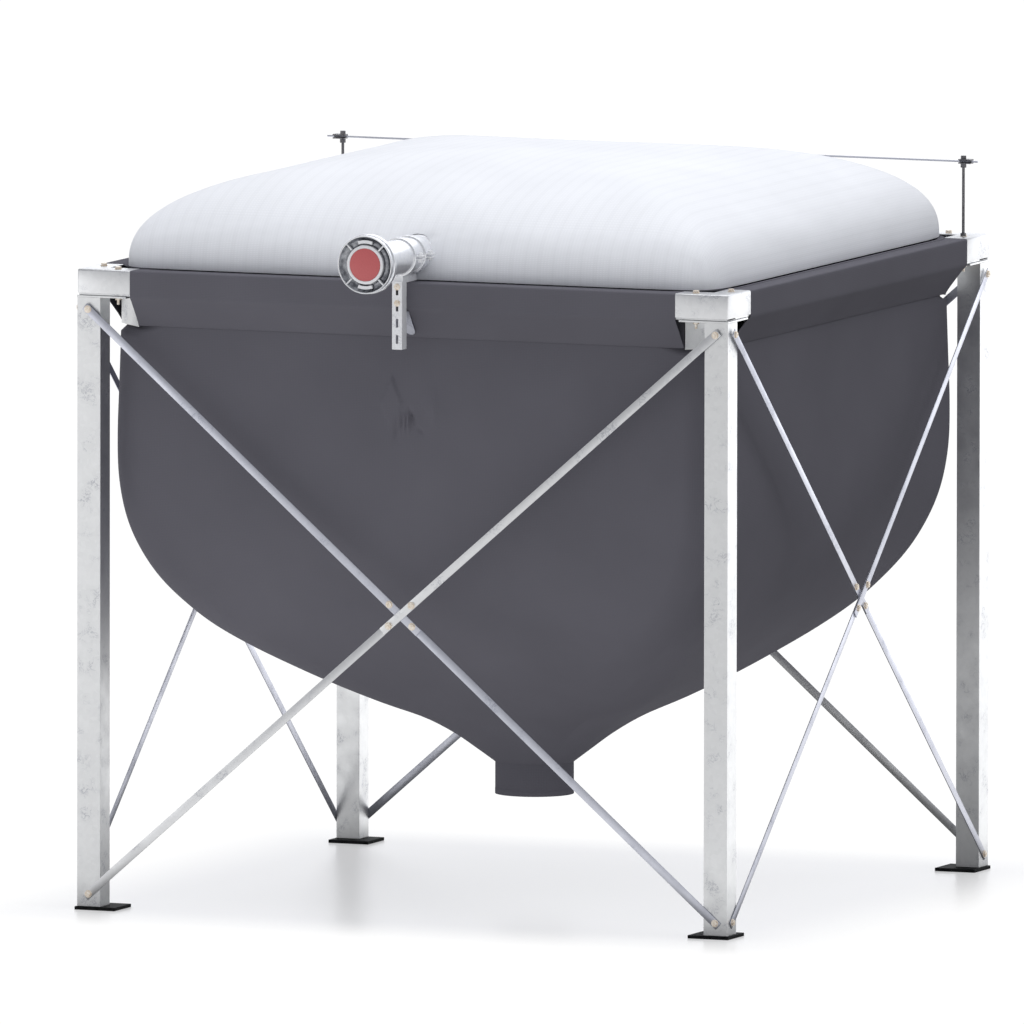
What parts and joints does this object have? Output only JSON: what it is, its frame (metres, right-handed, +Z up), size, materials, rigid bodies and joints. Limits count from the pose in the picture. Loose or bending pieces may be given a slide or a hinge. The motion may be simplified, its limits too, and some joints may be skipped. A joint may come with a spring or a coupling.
{
  "type": "pellet silo",
  "caption": "Fabric wood-pellet silo: square galvanised frame with crossed braces, hanging bag with hopper and spout, breathable roof and filler pipe.",
  "frame": {"origin": "on the ground, under the middle of the whole silo's outline, filler pipe included", "axes": "+Z up, -Y out of the front face where the filler pipe is, +X to the right seen from the front"},
  "size_m": [2.1372, 2.4186, 2.2253],
  "materials": {
    "galvanised_steel": "hot-dip galvanised, matt light grey with faint spangle",
    "foot_steel": "dark speckled steel",
    "bag_fabric": "fine woven anthracite fabric",
    "roof_fabric": "fine woven white breathable fabric",
    "pipe_metal": "polished",
    "disc_plastic": "red, satin",
    "zinc_steel": "zinc plated"
  },
  "bodies": {
    "root": {"bag_panel_back": "bag_fabric", "bag_panel_front": "bag_fabric", "bag_panel_left": "bag_fabric", "bag_panel_right": "bag_fabric", "bag_spout": "bag_fabric", "bar_holder_left": "zinc_steel", "bar_holder_right": "zinc_steel", "beam_pocket_back": "bag_fabric", "beam_pocket_front": "bag_fabric", "beam_pocket_left": "bag_fabric", "beam_pocket_right": "bag_fabric", "brace_back_falling": "galvanised_steel", "brace_back_rising": "galvanised_steel", "brace_front_falling": "galvanised_steel", "brace_front_rising": "galvanised_steel", "brace_left_falling": "galvanised_steel", "brace_left_rising": "galvanised_steel", "brace_right_falling": "galvanised_steel", "brace_right_rising": "galvanised_steel", "cap_disc": "disc_plastic", "corner_cap_back_left": "galvanised_steel", "corner_cap_back_right": "galvanised_steel", "corner_cap_front_left": "galvanised_steel", "corner_cap_front_right": "galvanised_steel", "coupling_cap": "pipe_metal", "coupling_ring": "pipe_metal", "filler_pipe": "pipe_metal", "foot_plate_back_left": "foot_steel", "foot_plate_back_right": "foot_steel", "foot_plate_front_left": "foot_steel", "foot_plate_front_right": "foot_steel", "pipe_clamp_front": "pipe_metal", "pipe_clamp_rear": "pipe_metal", "pipe_saddle": "galvanised_steel", "post_back_left": "galvanised_steel", "post_back_right": "galvanised_steel", "post_front_left": "galvanised_steel", "post_front_right": "galvanised_steel", "roof": "roof_fabric", "roof_bar": "zinc_steel", "slotted_strut": "galvanised_steel", "strut_tongue": "galvanised_steel", "top_beam_back": "galvanised_steel", "top_beam_front": "galvanised_steel", "top_beam_left": "galvanised_steel", "top_beam_right": "galvanised_steel"}
  },
  "joints": []
}
